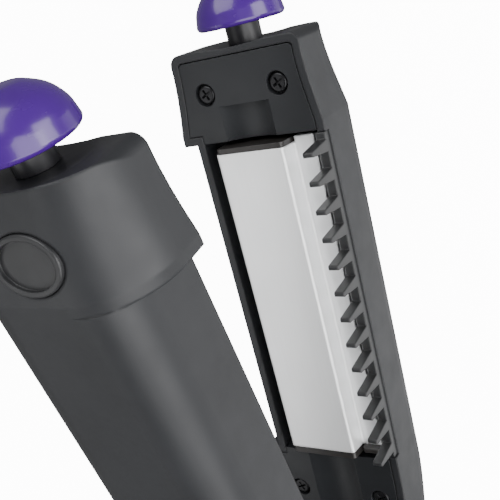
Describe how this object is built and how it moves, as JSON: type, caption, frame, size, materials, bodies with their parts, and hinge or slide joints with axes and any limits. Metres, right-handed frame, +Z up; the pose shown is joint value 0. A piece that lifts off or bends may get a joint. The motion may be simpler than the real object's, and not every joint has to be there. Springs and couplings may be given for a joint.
{
  "type": "hair crimper",
  "caption": "Two-arm heated hair crimper with smooth floating plates, toothed side combs, tip knobs and swivel cord inlet.",
  "frame": {"origin": "on the lower arm's flat back, the face the tool lies on, directly below the hinge pin", "axes": "+Y from the hinge to the tips, +Z up from the lower arm to the upper arm, +X towards the lower arm's comb"},
  "size_m": [0.0436, 0.3296, 0.1051],
  "materials": {
    "shell": "fine satin, soft-touch grey-black",
    "comb": "satin",
    "cover": "matte dark grey",
    "stem": "satin black",
    "holder": "satin, heat resistant",
    "knob": "glossy purple",
    "badge": "satin",
    "insulator": "dull black",
    "plate": "fine satin",
    "ceramic": "dull white",
    "black_steel": "black oxide",
    "bright_steel": "bright",
    "brass": "plain",
    "wire": "silicone insulation",
    "board": "solder mask",
    "board_part": "plain",
    "lens": "clear red",
    "sleeve": "matte black"
  },
  "bodies": {
    "lower_arm": {"lower_shell": "shell", "lower_comb": "comb", "lower_tip_cover": "cover", "lower_handle_cover": "cover", "lower_tip_cover_screws": "black_steel", "lower_handle_cover_screws": "black_steel", "lower_tip_stem": "stem", "lower_tip_knob": "knob", "lower_knob_screw": "bright_steel", "lower_heat_frame": "insulator", "lower_plate_springs": "bright_steel", "lower_lead_wires": "wire", "hinge_pin": "bright_steel", "hinge_cap_left": "cover", "hinge_cap_right": "cover", "hinge_washers": "brass", "hinge_spring": "bright_steel", "rear_cap": "cover", "rear_cap_screws": "black_steel", "circuit_board": "board", "dial_pot": "board_part", "switch_body": "board_part", "led_lens": "lens"},
    "upper_arm": {"upper_shell": "shell", "upper_comb": "comb", "upper_tip_cover": "cover", "upper_handle_cover": "cover", "upper_tip_cover_screws": "black_steel", "upper_handle_cover_screws": "black_steel", "upper_tip_stem": "stem", "upper_tip_knob": "knob", "upper_knob_screw": "bright_steel", "upper_heat_frame": "insulator", "upper_plate_springs": "bright_steel", "upper_lead_wires": "wire", "upper_badge": "badge"},
    "lower_plate_carrier": {"lower_plate": "plate", "lower_plate_holder_front": "holder", "lower_plate_holder_rear": "holder", "lower_heater": "ceramic", "lower_heater_clamp": "bright_steel", "lower_thermostat": "brass"},
    "upper_plate_carrier": {"upper_plate": "plate", "upper_plate_holder_front": "holder", "upper_plate_holder_rear": "holder", "upper_heater": "ceramic", "upper_heater_clamp": "bright_steel", "upper_thermostat": "brass"},
    "temperature_dial": {"dial": "knob"},
    "power_slider": {"switch_slider": "knob"},
    "cord_sleeve": {"cord_swivel": "sleeve", "swivel_clip": "bright_steel"}
  },
  "joints": [
    {"name": "jaw", "type": "hinge", "parent": "lower_arm", "child": "upper_arm", "pos_m": [0, 0, 0.026], "axis": [-1, 0, 0], "range_deg": [0, 12], "stiffness_Nm_per_rad": 0.9, "springref_deg": -22.92, "deforming": ["hinge_spring"]},
    {"name": "lower_plate_float", "type": "slide", "parent": "lower_arm", "child": "lower_plate_carrier", "axis": [0, 0, -1], "range_m": [0, 0.001], "stiffness_N_per_m": 3000, "springref_m": -0.003, "deforming": ["lower_plate_springs"]},
    {"name": "upper_plate_float", "type": "slide", "parent": "upper_arm", "child": "upper_plate_carrier", "axis": [0, -0.2079, 0.9781], "range_m": [0, 0.001], "stiffness_N_per_m": 3000, "springref_m": -0.003, "deforming": ["upper_plate_springs"]},
    {"name": "dial_turn", "type": "hinge", "parent": "lower_arm", "child": "temperature_dial", "pos_m": [0, 0.044, 0.022], "axis": [0, 0, -1], "range_deg": [0, 270]},
    {"name": "switch_slide", "type": "slide", "parent": "lower_arm", "child": "power_slider", "axis": [0, 1, 0], "range_m": [0, 0.004]},
    {"name": "cord_turn", "type": "hinge", "parent": "lower_arm", "child": "cord_sleeve", "pos_m": [0, -0.03, 0.01], "axis": [0, 1, 0], "continuous": true}
  ]
}
